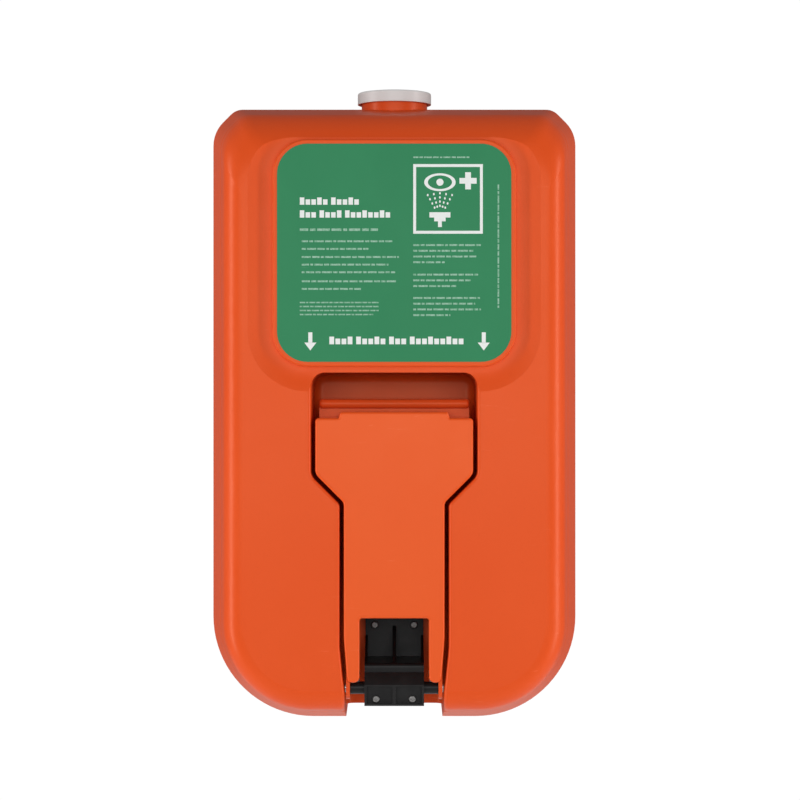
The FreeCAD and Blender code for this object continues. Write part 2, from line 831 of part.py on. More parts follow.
def bracket_screws(kind, seat):
    """Two pan-head screws whose heads rest on a face at Y = seat."""
    parts = []
    for side in (-1, 1):
        x, z = f"{side} * {kind}_screw_reach", f"{kind}_screw_height"
        crown = f"{seat} - screw_head_rise"
        long, short = "2 * screw_radius", "screw_slot"
        head = rod(f"{kind}_head", "front", x, seat, z, "2 * screw_radius", "screw_head_rise")
        head = rounded(f"{kind}_head_rounded", head, size("screw_head_round"), at_front)
        depth = "1.2 * screw_slot"
        slot = block(f"{kind}_slot", f"{x} - {long} / 2", crown, f"{z} - {short} / 2", long, depth, short)
        cross = block(f"{kind}_cross", f"{x} - {short} / 2", crown, f"{z} - {long} / 2", short, depth, long)
        shank = rod(f"{kind}_shank", "back", x, seat, z, "screw_radius", f"{FLOOR} - ({seat}) + 8")
        parts += [cut(f"{kind}_head_cut", head, slot, cross), shank]
    return join(f"{kind}_screws_joined", *parts)


finish(bracket_screws("upper", PLATE_FRONT), "upper_valve_screws")
finish(bracket_screws("lower", f"({HINGE_Y} - cap_depth + pocket_depth)"), "bearing_cap_screws")

# ---------------------------------------------------------------- rotor
HOSE_X = "hose_reach"
LUG_X = "(stem_width / 2 - 0.45 * foot_taper - lug_width)"
valve_part = rod("valve_part", "right", "-valve_half", HINGE_Y, HINGE_Z, "rotor_radius", "2 * valve_half")
stub = rod(
    "stub", "right", f"-{LUG_X} + seat_gap", HINGE_Y, HINGE_Z, "stub_radius", f"2 * {LUG_X} - 2 * seat_gap"
)
pin = rod(
    "pin", "right", f"-{LUG_X} - lug_width", HINGE_Y, HINGE_Z, "pin_radius", f"2 * {LUG_X} + 2 * lug_width"
)
nipples = []
nipple_bores = []
for side in (-1, 1):
    x = f"{side} * {HOSE_X}"
    nipples.append(rod("nipple", "up", x, HINGE_Y, HINGE_Z, "hose_bore - running_fit", "stub_radius + 18"))
    nipple_bores.append(rod("nipple_bore", "up", x, HINGE_Y, HINGE_Z, "hose_bore - 1.2", "stub_radius + 20"))
rotor_bore = rod("rotor_bore", "right", f"-{HOSE_X}", HINGE_Y, HINGE_Z, "3", f"2 * {HOSE_X}")
inlet_port = rod(
    "inlet_port", "up", "0", HINGE_Y, f"{HINGE_Z} - rotor_radius - 1", "outlet_bore - 1", "rotor_radius + 1"
)
grooves = []
seals = []
pilot_holes = []
screws = []
for side in (-1, 1):
    middle = f"{side} * {HALF} * 0.68"
    grooves.append(
        ring(
            "groove", "right", f"{middle} - 1", HINGE_Y, HINGE_Z,
            "stub_radius + 1", "stub_radius - 1.8", "2",
        )
    )
    torus = doc.addObject("Part::Torus", "seal_torus")
    torus.Placement.Rotation = TURNS["right"]
    bind(torus, Radius1="stub_radius - 0.9", Radius2="0.85")
    place(torus, middle, HINGE_Y, HINGE_Z)
    seals.append(torus)
    way = "right" if side > 0 else "left"
    outer_face = f"{side} * ({LUG_X} + lug_width)"
    pilot_holes.append(
        rod("pilot", way, f"{outer_face} - {side} * 8", HINGE_Y, HINGE_Z, "1.5 + running_fit", "9")
    )
    screws.append(rod("pivot_shank", way, f"{outer_face} - {side} * 7", HINGE_Y, HINGE_Z, "1.5", "7"))
    screws.append(rod("pivot_head", way, outer_face, HINGE_Y, HINGE_Z, "5", "1.2"))
rotor_solid = join("rotor_joined", valve_part, stub, pin, *nipples)
finish(
    cut("rotor_cut", rotor_solid, rotor_bore, inlet_port, *nipple_bores, *grooves, *pilot_holes),
    "valve_rotor",
)
finish(join("seals_joined", *seals), "rotor_seals")
finish(join("pivot_screws_joined", *screws), "pivot_screws")


# ---------------------------------------------------------------- arm
def boss_places():
    """Where the tray is screwed to the front moulding, as (x, z)."""
    places = []
    for side in (-1, 1):
        places.append((side * (size("head_width") / 2 - 12), size("arm_top") - 24))
        places.append((side * 30, size("notch_top") + 26))
    return places


def arm_shell_shape():
    skin = size("arm_skin")
    depth = size("arm_depth")
    shell = slab(arm_corners(0), front, depth)
    shell = shell.makeFillet(size("arm_edge_round"), edges_in_plane(shell, front))
    shell = shell.cut(slab(arm_corners(skin), front + skin, depth))
    leg_outer = size("stem_width") / 2 - 0.45 * size("foot_taper")
    notch_half = size("notch_width") / 2
    leg = size("leg_end")
    for side in (-1, 1):
        low = min(side * (notch_half - 1), side * (leg_outer - skin))
        room = Part.makeBox(
            leg_outer - skin - notch_half + 1, depth, size("notch_top") + skin - leg + 2,
            FreeCAD.Vector(low, front + skin, leg - 1),
        )
        shell = shell.cut(room)
    eye_y = front + size("hinge_setback")
    lug_low = leg_outer - size("lug_width")
    radius = size("lug_radius")
    for side in (-1, 1):
        low = min(side * lug_low, side * leg_outer)
        eye = Part.makeCylinder(
            radius, size("lug_width"),
            FreeCAD.Vector(low, eye_y, size("hinge_height")), FreeCAD.Vector(1, 0, 0),
        )
        strap = Part.makeBox(
            size("lug_width"), 2 * radius, size("notch_top") - size("hinge_height"),
            FreeCAD.Vector(low, eye_y - radius, size("hinge_height")),
        )
        shell = shell.fuse(eye.fuse(strap))
    pin = Part.makeCylinder(
        size("pin_radius") + size("running_fit"), 200,
        FreeCAD.Vector(-100, eye_y, size("hinge_height")), FreeCAD.Vector(1, 0, 0),
    )
    shell = shell.cut(pin)
    for x, z in boss_places():
        start = FreeCAD.Vector(x, front + 1.5, z)
        boss = Part.makeCylinder(size("boss_radius"), depth - 1.5, start, FreeCAD.Vector(0, 1, 0))
        hole_start = start + FreeCAD.Vector(0, 8, 0)
        hole_radius = size("arm_screw_radius") + size("running_fit")
        hole = Part.makeCylinder(hole_radius, depth, hole_start, FreeCAD.Vector(0, 1, 0))
        shell = shell.fuse(boss).cut(hole)
    return shell.removeSplitter()


finish(solid("arm_shell_body", arm_shell_shape()), "arm_shell")


def nozzle_sides():
    return [(side, side * size("nozzle_spacing") / 2) for side in (-1, 1)]


def arm_tray_shape():
    y = front + size("arm_depth")
    thick = size("arm_skin")
    tray = slab(arm_corners(0), y, thick)
    half_grip = size("head_width") / 2 - 3
    grip_z = size("grip_height")
    radius = size("grip_radius")
    web_low = size("arm_top") - size("arm_shoulder") - 10
    web = Part.makeBox(2 * half_grip, thick, grip_z - web_low, FreeCAD.Vector(-half_grip, y, web_low))
    middle = FreeCAD.Vector(-half_grip, y - radius + thick, grip_z)
    roll = Part.makeCylinder(radius, 2 * half_grip, middle, FreeCAD.Vector(1, 0, 0))
    roll = roll.makeFillet(radius * 0.6, roll.Edges[0:3:2])
    tray = tray.fuse([web, roll])
    for _, x in nozzle_sides():
        start = FreeCAD.Vector(x, y - 5, size("nozzle_height"))
        hole_radius = size("stem_radius") + size("seat_gap")
        tray = tray.cut(Part.makeCylinder(hole_radius, 20, start, FreeCAD.Vector(0, 1, 0)))
    for x, z in boss_places():
        start = FreeCAD.Vector(x, y - 1, z)
        hole_radius = size("arm_screw_radius") + size("running_fit")
        tray = tray.cut(Part.makeCylinder(hole_radius, 20, start, FreeCAD.Vector(0, 1, 0)))
    return tray.removeSplitter()


finish(solid("arm_tray_body", arm_tray_shape()), "arm_tray")

tray_screw_parts = []
for x, z in boss_places():
    tray_screw_parts += [
        rod("tray_shank", "front", str(x), TRAY_BACK, str(z), "arm_screw_radius", "14"),
        rod("tray_head", "back", str(x), TRAY_BACK, str(z), "2.1 * arm_screw_radius", "2.2"),
    ]
finish(join("tray_screws_joined", *tray_screw_parts), "arm_screws")

# ---------------------------------------------------------------- nozzles and hoses
nut_parts = []
screen_parts = []
clamp_parts = []
HEAD_Y = f"({TRAY_BACK} + 5 + seat_gap)"


def spray_holes(x, y, z, depth):
    """Nineteen small holes along Y: one, then rings of six and twelve."""
    holes = []
    for radius, count in ((0, 1), (8, 6), (15.5, 12)):
        for n in range(count):
            angle = 2 * math.pi * n / count
            start = FreeCAD.Vector(x + radius * math.cos(angle), y, z + radius * math.sin(angle))
            holes.append(Part.makeCylinder(size("spray_hole"), depth, start, FreeCAD.Vector(0, 1, 0)))
    return Part.makeCompound(holes)


head_start = front + size("arm_depth") + size("arm_skin") + 5 + size("seat_gap")
for side, name in ((-1, "left"), (1, "right")):
    x = f"{side} * nozzle_spacing / 2"
    z = "nozzle_height"
    stem = rod(
        f"{name}_stem", "back", x, f"{HINGE_Y} - stem_radius", z,
        "stem_radius", f"{HEAD_Y} + 5 - {HINGE_Y} + stem_radius",
    )
    flange = rod(f"{name}_flange", "front", x, TRAY_FRONT, z, "stem_radius + 5", "3")
    barb = rod(
        f"{name}_barb", "up", x, HINGE_Y, f"{z} - stem_radius - barb_length",
        "hose_bore - running_fit", "stem_radius + barb_length",
    )
    stem_bore = rod(f"{name}_stem_bore", "back", x, HINGE_Y, z, "stem_radius - 3", "80")
    barb_bore = rod(
        f"{name}_barb_bore", "up", x, HINGE_Y, f"{z} - stem_radius - barb_length - 1",
        "hose_bore - 1.2", "stem_radius + barb_length + 1",
    )
    elbow = join(f"{name}_elbow_joined", stem, flange, barb)
    finish(cut(f"{name}_elbow_cut", elbow, stem_bore, barb_bore), f"elbow_{name}")
    nut_parts.append(
        hexagon(f"{name}_nut", "back", x, TRAY_BACK, z, "nozzle_nut_across", "stem_radius + running_fit", "5")
    )
    cone = taper(f"{name}_cone", "back", x, HEAD_Y, z, "stem_radius + 3.5", "head_radius", "head_cone")
    rim = rod(f"{name}_rim", "back", x, f"{HEAD_Y} + head_cone", z, "head_radius", "head_rim")
    head = rounded(f"{name}_rim_rounded", rim, size("head_round"), at_back)
    inside = taper(
        f"{name}_inside", "back", x, f"{HEAD_Y} + 3", z,
        "stem_radius + 2", "head_radius - head_wall", "head_cone - 2.99",
    )
    chamber = rod(
        f"{name}_chamber", "back", x, f"{HEAD_Y} + head_cone", z,
        "head_radius - head_wall", "head_rim - head_wall",
    )
    socket = rod(f"{name}_socket", "back", x, f"{HEAD_Y} - 1", z, "stem_radius + running_fit", "6")
    holes = solid(
        f"{name}_spray_holes",
        spray_holes(side * size("nozzle_spacing") / 2, head_start + 10, size("nozzle_height"), 20),
    )
    spray_head = join(f"{name}_head_joined", cone, head)
    finish(cut(f"{name}_head_cut", spray_head, inside, chamber, socket, holes), f"spray_head_{name}")
    screen_parts.append(rod(
        f"{name}_screen", "back", x, f"{HEAD_Y} + head_cone + 1", z,
        "head_radius - head_wall - seat_gap", "0.8",
    ))
    hose_x = side * size("hose_reach")
    nozzle_x = side * size("nozzle_spacing") / 2
    low_z = size("hinge_height") + size("stub_radius") + size("seat_gap")
    high_z = size("nozzle_height") - size("stem_radius") - size("seat_gap")
    bend_low = high_z - 60
    bend_high = high_z - 20
    route = [
        FreeCAD.Vector(hose_x, hinge_y, low_z),
        FreeCAD.Vector(hose_x, hinge_y, bend_low),
        FreeCAD.Vector(nozzle_x, hinge_y, bend_high),
        FreeCAD.Vector(nozzle_x, hinge_y, high_z),
    ]
    lean = (route[2] - route[1]).getAngle(FreeCAD.Vector(0, 0, 1))
    bend_radius = size("bend_radius")
    reach = bend_radius * math.tan(lean / 2)
    spine = []
    last = route[0]
    for n in (1, 2):
        before = (route[n - 1] - route[n]).normalize()
        after = (route[n + 1] - route[n]).normalize()
        start = route[n] + before * reach
        stop = route[n] + after * reach
        inward = (before + after).normalize()
        middle = route[n] + inward * (bend_radius / math.cos(lean / 2) - bend_radius)
        spine.append(Part.LineSegment(last, start).toShape())
        spine.append(Part.Arc(start, middle, stop).toShape())
        last = stop
    spine.append(Part.LineSegment(last, route[3]).toShape())
    spine_wire = Part.Wire(spine)
    tubes = []
    for radius in (size("hose_radius"), size("hose_bore")):
        circle = Part.Wire([Part.makeCircle(radius, route[0], FreeCAD.Vector(0, 0, 1))])
        tubes.append(spine_wire.makePipeShell([circle], True, False))
    finish(solid(f"{name}_hose", tubes[0].cut(tubes[1])), f"hose_{name}")
    for clamp_x, clamp_z in ((hose_x, low_z + 6), (nozzle_x, high_z - 8)):
        clamp_parts.append(ring(
            "clamp", "up", str(clamp_x), HINGE_Y, str(clamp_z),
            "hose_radius + 0.7", "hose_radius + running_fit", "5",
        ))
finish(join("nuts_joined", *nut_parts), "nozzle_nuts")
finish(join("screens_joined", *screen_parts), "spray_screens")
finish(join("clamps_joined", *clamp_parts), "hose_clamps")

# ---------------------------------------------------------------- check and write
doc.recompute()
for thing in doc.Objects:
    if "Invalid" in thing.State or "Error" in thing.State:
        raise RuntimeError(f"{thing.Name} didn't build: {thing.State}")
labels = [node.Label for node in nodes]
if len(set(labels)) != len(labels):
    raise RuntimeError("two pieces have the same name")
for node in nodes:
    if node.Shape.isNull() or not node.Shape.isValid():
        raise RuntimeError(f"{node.Label} has no valid shape")
os.makedirs("parts", exist_ok=True)
for node in nodes:
    node.Shape.exportStep(f"parts/{node.Label}.step")
    box = node.Shape.BoundBox
    print(f"{node.Label:20s} {len(node.Shape.Solids)} solids, {node.Shape.Volume / 1000:9.2f} cm3",
          [round(value, 1) for value in (box.XMin, box.YMin, box.ZMin, box.XMax, box.YMax, box.ZMax)])
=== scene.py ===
"""Looks of a wall-hung, gravity-fed eye wash station.

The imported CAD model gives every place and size. This script gives each piece its finish, adds
what is printed or moulded finer than the CAD model shows, and lights the whole.
Metres. +Z is up, the wall is the plane Y = 0 and the front faces -Y.
"""

import math

import bpy
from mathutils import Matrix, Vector


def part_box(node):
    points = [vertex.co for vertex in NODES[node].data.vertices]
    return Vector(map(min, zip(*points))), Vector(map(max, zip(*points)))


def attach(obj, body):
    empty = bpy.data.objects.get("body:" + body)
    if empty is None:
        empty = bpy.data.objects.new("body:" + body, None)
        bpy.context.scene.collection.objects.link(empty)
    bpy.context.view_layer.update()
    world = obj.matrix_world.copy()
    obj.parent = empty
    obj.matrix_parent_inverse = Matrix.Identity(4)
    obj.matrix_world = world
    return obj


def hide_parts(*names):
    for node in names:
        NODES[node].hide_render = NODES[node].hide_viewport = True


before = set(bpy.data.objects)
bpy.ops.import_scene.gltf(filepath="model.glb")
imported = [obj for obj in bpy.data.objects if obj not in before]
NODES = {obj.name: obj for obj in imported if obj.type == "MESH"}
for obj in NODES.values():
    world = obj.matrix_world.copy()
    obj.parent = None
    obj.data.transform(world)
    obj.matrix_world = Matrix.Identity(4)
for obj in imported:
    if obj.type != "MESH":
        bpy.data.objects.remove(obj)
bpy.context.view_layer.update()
MM = 0.001

TANK_LOW, TANK_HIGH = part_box("tank_shell")
FRONT = TANK_LOW.y
LABEL_LOW, LABEL_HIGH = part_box("instruction_label")

# The camera, from the front of the tank and from its foot. The lens and sensor are in mm.
CAMERA_DISTANCE = 2.55
CAMERA_SIDE = 6.1 * MM
CAMERA_HEIGHT = 344 * MM
CAMERA_LENS = 109.35
SENSOR_WIDTH = 36.0

FLOOR_DROP = 0.9
FLOOR_RADIUS = 2.6
FLOOR_SIDES = 96
FLOOR_GLOW = 0.32

# How bright the surround is: as the camera sees it, as it lights the front, and as it lights
# the back. Its light fades between two places on the way from the front (-1) to the back (1).
WHITE = (1, 1, 1, 1)
BACKDROP = 1.02
SURROUND = 0.34
SURROUND_BEHIND = 0.17
FADE_FROM = -0.1
FADE_TO = 0.6

SIDE_WATTS = 13
SIDE_OUT = 1.5
SIDE_FORWARD = 0.5
SIDE_WIDTH = 0.2
SIDE_HEIGHT = 1.6

FRONT_WATTS = 36
FRONT_AWAY = 3.0
FRONT_RAISE = 0.3
FRONT_WIDTH = 3.2
FRONT_HEIGHT = 1.0

WARM_GLOSS = (1.0, 0.62, 0.42, 1.0)

INK = 0.05 * MM
INK_EDGE = 0.02 * MM
LABEL_CORNER = 32 * MM
CORNER_STEPS = 12
FACING_FRONT = (math.radians(90), 0, 0)

# Places on the label are in plain millimetres from its upper left corner, across and down.
LEFT_MARGIN = 24
LEFT_COLUMN = 26
RIGHT_COLUMN = 143

# Large type: left, top, height, and the number of blocks in each word.
HEADINGS = (
    (LEFT_MARGIN, 56.5, 7.6, (5, 5)),
    (LEFT_MARGIN, 70, 7.6, (3, 4, 8)),
    (55, 202.5, 8, (4, 5, 3, 9)),
)
# A block's width, step and missing top, and the space after a word, as shares of the height.
BLOCK_WIDE = 0.62
BLOCK_STEP = 0.80
BLOCK_SHORT = 0.26
BLOCK_SPACE = 0.32

# Small type: word lengths and the space between words, as shares of the height of the type.
WORDS = (3.4, 2.2, 5.1, 4.0, 1.6, 4.6, 2.8, 5.6, 2.4, 3.8, 3.0, 4.4, 2.0, 5.0)
WORD_SPACE = 0.7
BODY_TALL = 1.9
FINE_TALL = 1.6

# The lines of the two columns: top, and where the line ends on the right.
LEFT_LINES = (
    (101.5, 121), (109.5, 96), (118, 128), (126, 117), (134, 124), (143.5, 127), (151.5, 88),
)
RIGHT_LINES = (
    (105.5, 214), (111.5, 207), (117.5, 211), (123.5, 176),
    (136.5, 212), (142.5, 203), (148.5, 188),
    (161, 213), (167, 208), (173, 214), (179, 182),
)
RIGHT_LINE_WORDS = 5

LEAD_TOP = 89
LEAD_RIGHT = 106
LEAD_TALL = 2.6

FOOTNOTE_RIGHTS = (126, 119, 124, 101)
FOOTNOTE_TOP = 166
FOOTNOTE_STEP = 4.2
FOOTNOTE_TALL = 1.4
FOOTNOTE_FIRST_WORD = 3

TOP_LINE = 13.5
TOP_LINE_RIGHT = 202

SIDE_LINE_LEFT = 231.5
SIDE_LINE_TOP = 43
SIDE_LINE_GAP = 1.3
SIDE_LINE_EXTRA = 5

# The picture. Bars are left, top, width and height from the frame's own upper left corner.
PICTURE_TOP = 21.5
PICTURE_SIDE = 73
PICTURE_LINE = 3
CROSS = ((54.5, 8.5, 6, 18), (48.5, 14.5, 6, 6), (60.5, 14.5, 6, 6))
SPRAY_HEAD = ((17, 50.5, 22, 5.5), (22, 56, 12, 4), (26, 60, 4, 6))

EYE_ACROSS = 28
EYE_DOWN = 19
PUPIL = 7.5
EYELID_RADIUS = 9
EYELID_LINE = 1.2
EYELID_WIDEN = 1.62
EYELID_FLATTEN = 0.92

DROP_ROWS = 4
DROP_TOP = 30.5
DROP_ROW_STEP = 4.4
DROP_SPREAD = 6.4
DROP_NARROWING = 1.2
DROP_WIDE = 1.8
DROP_TALL = 2.6

ARROW_MIDDLES = (("label_arrow_left", 35), ("label_arrow_right", 217))
ARROW_TOP = 198
ARROW_SHAFT_WIDE = 4.2
ARROW_SHAFT_TALL = 11
ARROW_HEAD_DOWN = 211.5
ARROW_HEAD_WIDE = 14.5
ARROW_HEAD_TALL = 11

NECK_RADIUS = 36 * MM
THREAD_STARTS = 3
THREAD_BEAD = 0.9 * MM
THREAD_FOOT = 2.2 * MM
THREAD_LEAD = 12 * MM
THREAD_TURN = 110
THREAD_SMOOTH = 50
BEAD_SIDES = 12
THREAD_STEPS = 32


# ---------------------------------------------------------------- materials


class Finish:
    """A node material on Object coordinates, built up a layer at a time."""

    def __init__(self, name, colour, roughness, metallic=0.0, specular=0.5):
        self.material = bpy.data.materials.new(name)
        self.material.use_nodes = True
        self.material.diffuse_color = (*colour, 1.0)
        self.nodes = self.material.node_tree.nodes
        self.links = self.material.node_tree.links
        self.shader = self.nodes["Principled BSDF"]
        self.shader.inputs["Base Color"].default_value = (*colour, 1.0)
        self.shader.inputs["Roughness"].default_value = roughness
        self.shader.inputs["Metallic"].default_value = metallic
        self.shader.inputs["Specular IOR Level"].default_value = specular
        self.place = self.nodes.new("ShaderNodeTexCoord").outputs["Object"]
        self.colour = None
        self.roughness = None
        self.height = None

    def noise(self, scale, detail=3.0, rough=0.5, stretch=(1, 1, 1), warp=0.0):
        """Clouds, grains or, when stretched, brushed lines. The scale is features to the metre."""
        mapping = self.nodes.new("ShaderNodeMapping")
        mapping.inputs["Scale"].default_value = stretch
        self.links.new(self.place, mapping.inputs["Vector"])
        texture = self.nodes.new("ShaderNodeTexNoise")
        texture.inputs["Scale"].default_value = scale
        texture.inputs["Detail"].default_value = detail
        texture.inputs["Roughness"].default_value = rough
        texture.inputs["Distortion"].default_value = warp
        self.links.new(mapping.outputs["Vector"], texture.inputs["Vector"])
        return texture.outputs["Fac"]

    def cells(self, scale):
        """Distance to scattered points, for a pebbled grain."""
        texture = self.nodes.new("ShaderNodeTexVoronoi")
        texture.inputs["Scale"].default_value = scale
        self.links.new(self.place, texture.inputs["Vector"])
        return texture.outputs["Distance"]

    def spread(self, value, low, high, amount=1.0):
        """Stretches the part of a value between low and high from nothing to the amount."""
        ramp = self.nodes.new("ShaderNodeMapRange")
        ramp.inputs["From Min"].default_value = low
        ramp.inputs["From Max"].default_value = high
        ramp.inputs["To Max"].default_value = amount
        self.links.new(value, ramp.inputs["Value"])
        return ramp.outputs["Result"]

    def tint(self, amount, colour):
        """Lays a second colour over what is there, as much as the amount says."""
        mix = self.nodes.new("ShaderNodeMix")
        mix.data_type = "RGBA"
        if self.colour is None:
            mix.inputs["A"].default_value = self.shader.inputs["Base Color"].default_value
        else:
            self.links.new(self.colour, mix.inputs["A"])
        mix.inputs["B"].default_value = (*colour, 1.0)
        self.links.new(amount, mix.inputs["Factor"])
        self.colour = mix.outputs["Result"]
        self.links.new(self.colour, self.shader.inputs["Base Color"])

    def dull(self, amount, roughness):
        """Moves the roughness towards another one, as much as the amount says."""
        mix = self.nodes.new("ShaderNodeMix")
        mix.data_type = "FLOAT"
        if self.roughness is None:
            mix.inputs["A"].default_value = self.shader.inputs["Roughness"].default_value
        else:
            self.links.new(self.roughness, mix.inputs["A"])
        mix.inputs["B"].default_value = roughness
        self.links.new(amount, mix.inputs["Factor"])
        self.roughness = mix.outputs["Result"]
        self.links.new(self.roughness, self.shader.inputs["Roughness"])

    def relief(self, height, depth, strength):
        """Presses a height into the surface; the depth is in metres."""
        bump = self.nodes.new("ShaderNodeBump")
        bump.inputs["Strength"].default_value = strength
        bump.inputs["Distance"].default_value = depth
        self.links.new(height, bump.inputs["Height"])
        if self.height is not None:
            self.links.new(self.height, bump.inputs["Normal"])
        self.height = bump.outputs["Normal"]
        self.links.new(self.height, self.shader.inputs["Normal"])

    def clouds(self, colour, amount, scale, low=0.4, high=0.7, detail=3.0):
        """Faint clouds, or at a large scale fine specks, of a second colour."""
        self.tint(self.spread(self.noise(scale, detail), low, high, amount), colour)

    def rubbed(self, roughness, amount, scale, low=0.35, high=0.7, stretch=(1, 1, 1)):
        """Patches, or when stretched lines, of another roughness."""
        patches = self.noise(scale, stretch=stretch)
        self.dull(self.spread(patches, low, high, amount), roughness)

    def grain(self, scale, depth, strength, detail=2.0, rough=0.5, stretch=(1, 1, 1)):
        """A fine relief all over the surface."""
        self.relief(self.noise(scale, detail, rough, stretch), depth, strength)

    def scratches(self, colour, roughness, density):
        """Fine handling marks, long one way and thin the other, in a few patches."""
        lines = self.noise(90, 6.0, 0.7, stretch=(0.25, 1.0, 2.2), warp=0.6)
        patches = self.noise(9, 2.0)
        both = self.nodes.new("ShaderNodeMath")
        both.operation = "MULTIPLY"
        self.links.new(self.spread(lines, 0.64, 0.72), both.inputs[0])
        self.links.new(self.spread(patches, 0.5, 0.62, density), both.inputs[1])
        self.tint(both.outputs["Value"], colour)
        self.dull(both.outputs["Value"], roughness)


def rotomoulded_orange():
    """Polyethylene moulded against cast metal: an even satin with faint clouds and fine pits."""
    finish = Finish("rotomoulded_orange", (0.71, 0.073, 0.010), 0.33, specular=0.34)
    finish.shader.inputs["Specular Tint"].default_value = WARM_GLOSS
    finish.clouds((0.74, 0.088, 0.016), 0.35, scale=7, low=0.35, detail=4.0)
    finish.clouds((0.58, 0.052, 0.009), 0.25, scale=420, low=0.62, high=0.8, detail=2.0)
    finish.scratches((0.88, 0.22, 0.10), 0.55, density=0.35)
    finish.rubbed(0.44, 0.5, scale=28, low=0.3)
    finish.grain(260, 0.06 * MM, 0.4, detail=3.0, rough=0.6)
    finish.grain(1300, 0.03 * MM, 0.35)
    return finish.material


def arm_orange():
    """The arm's own moulding, a shade lighter and a little glossier than the tank."""
    finish = Finish("injection_orange", (0.75, 0.090, 0.015), 0.31, specular=0.34)
    finish.shader.inputs["Specular Tint"].default_value = WARM_GLOSS
    finish.clouds((0.78, 0.105, 0.020), 0.3, scale=9, low=0.35)
    finish.scratches((0.90, 0.25, 0.12), 0.52, density=0.4)
    finish.rubbed(0.46, 0.4, scale=40, low=0.3)
    finish.grain(900, 0.04 * MM, 0.4, rough=0.6)
    return finish.material


def label_green():
    """Laminated green film, smooth, with a faint ripple where it sits on the moulding."""
    finish = Finish("laminated_green", (0.020, 0.205, 0.082), 0.30, specular=0.12)
    finish.clouds((0.026, 0.235, 0.096), 0.3, scale=16)
    finish.scratches((0.10, 0.32, 0.18), 0.42, density=0.3)
    finish.rubbed(0.36, 0.5, scale=22)
    finish.grain(30, 0.05 * MM, 0.3)
    return finish.material


def print_white():
    """Screen ink under the laminate."""
    finish = Finish("print_white", (0.78, 0.80, 0.78), 0.34, specular=0.12)
    finish.clouds((0.70, 0.74, 0.71), 0.3, scale=60)
    finish.rubbed(0.38, 0.5, scale=22)
    finish.grain(700, 0.01 * MM, 0.3)
    return finish.material


def print_pale():
    """The same ink in small type, where green shows through between the strokes."""
    finish = Finish("print_pale", (0.30, 0.50, 0.38), 0.34, specular=0.12)
    finish.clouds((0.12, 0.34, 0.19), 0.8, scale=900, low=0.45, high=0.6, detail=2.0)
    finish.rubbed(0.38, 0.5, scale=22)
    finish.grain(700, 0.01 * MM, 0.3)
    return finish.material


def cap_white():
    """Injection-moulded white, slightly warm, with finger marks."""
    finish = Finish("cap_white", (0.74, 0.73, 0.72), 0.38)
    finish.clouds((0.66, 0.655, 0.64), 0.3, scale=35, detail=4.0)
    finish.scratches((0.60, 0.60, 0.58), 0.55, density=0.3)
    finish.rubbed(0.50, 0.6, scale=55, high=0.65)
    finish.grain(1200, 0.02 * MM, 0.35)
    return finish.material


def glass_filled_black():
    """Glass-filled nylon: near black, with a fine spark-eroded grain and rubbed patches."""
    finish = Finish("glass_filled_black", (0.0065, 0.0062, 0.0064), 0.34, specular=0.22)
    finish.clouds((0.016, 0.015, 0.015), 0.5, scale=60, low=0.45, detail=4.0)
    finish.scratches((0.05, 0.048, 0.046), 0.5, density=0.6)
    finish.rubbed(0.46, 0.5, scale=90, high=0.65)
    finish.relief(finish.cells(1800), 0.03 * MM, 0.4)
    return finish.material


def grey_plastic():
    """Grey acetal fittings."""
    finish = Finish("grey_acetal", (0.26, 0.27, 0.28), 0.40)
    finish.clouds((0.21, 0.22, 0.23), 0.5, scale=80)
    finish.scratches((0.40, 0.41, 0.42), 0.5, density=0.4)
    finish.rubbed(0.52, 0.5, scale=60, high=0.65)
    finish.grain(1400, 0.02 * MM, 0.4)
    return finish.material


def gasket_rubber():
    """Matt black rubber with a bloom."""
    finish = Finish("gasket_rubber", (0.018, 0.018, 0.019), 0.70, specular=0.3)
    finish.clouds((0.045, 0.044, 0.043), 0.6, scale=120, low=0.45, detail=4.0)
    finish.rubbed(0.85, 0.5, scale=90, high=0.65)
    finish.grain(1600, 0.03 * MM, 0.5, detail=3.0)
    return finish.material


def water_hose():
    """Soft clear hose, milky with age, with faint extrusion lines."""
    finish = Finish("milky_hose", (0.62, 0.66, 0.66), 0.24)
    finish.shader.inputs["Transmission Weight"].default_value = 0.35
    finish.shader.inputs["IOR"].default_value = 1.45
    finish.clouds((0.54, 0.57, 0.55), 0.5, scale=70)
    finish.rubbed(0.34, 0.5, scale=60, high=0.65)
    finish.grain(900, 0.02 * MM, 0.3, stretch=(1, 1, 0.05))
    return finish.material


def brushed_steel():
    """Stainless sheet and screws, brushed along their length, faintly stained."""
    finish = Finish("brushed_steel", (0.56, 0.555, 0.545), 0.30, metallic=1.0)
    finish.clouds((0.42, 0.41, 0.395), 0.5, scale=50, low=0.45, high=0.75, detail=4.0)
    finish.rubbed(0.42, 1.0, scale=700, low=0.3, stretch=(0.04, 1, 1))
    finish.grain(1500, 0.01 * MM, 0.4, stretch=(0.03, 1, 1))
    return finish.material


def dulled_steel():
    """The small screws in the black bracket: plated, and gone grey."""
    finish = Finish("dulled_steel", (0.22, 0.215, 0.21), 0.42, metallic=1.0)
    finish.clouds((0.12, 0.11, 0.105), 0.6, scale=300)
    finish.rubbed(0.58, 0.6, scale=400)
    finish.grain(1800, 0.01 * MM, 0.4)
    return finish.material


def turned_brass():
    """Brass inserts and the tank outlet, slightly tarnished."""
    finish = Finish("turned_brass", (0.58, 0.42, 0.17), 0.28, metallic=1.0)
    finish.clouds((0.34, 0.22, 0.09), 0.6, scale=90, low=0.45, high=0.75, detail=4.0)
    finish.rubbed(0.48, 0.6, scale=120)
    finish.grain(1600, 0.01 * MM, 0.4, stretch=(1, 1, 0.05))
    return finish.material


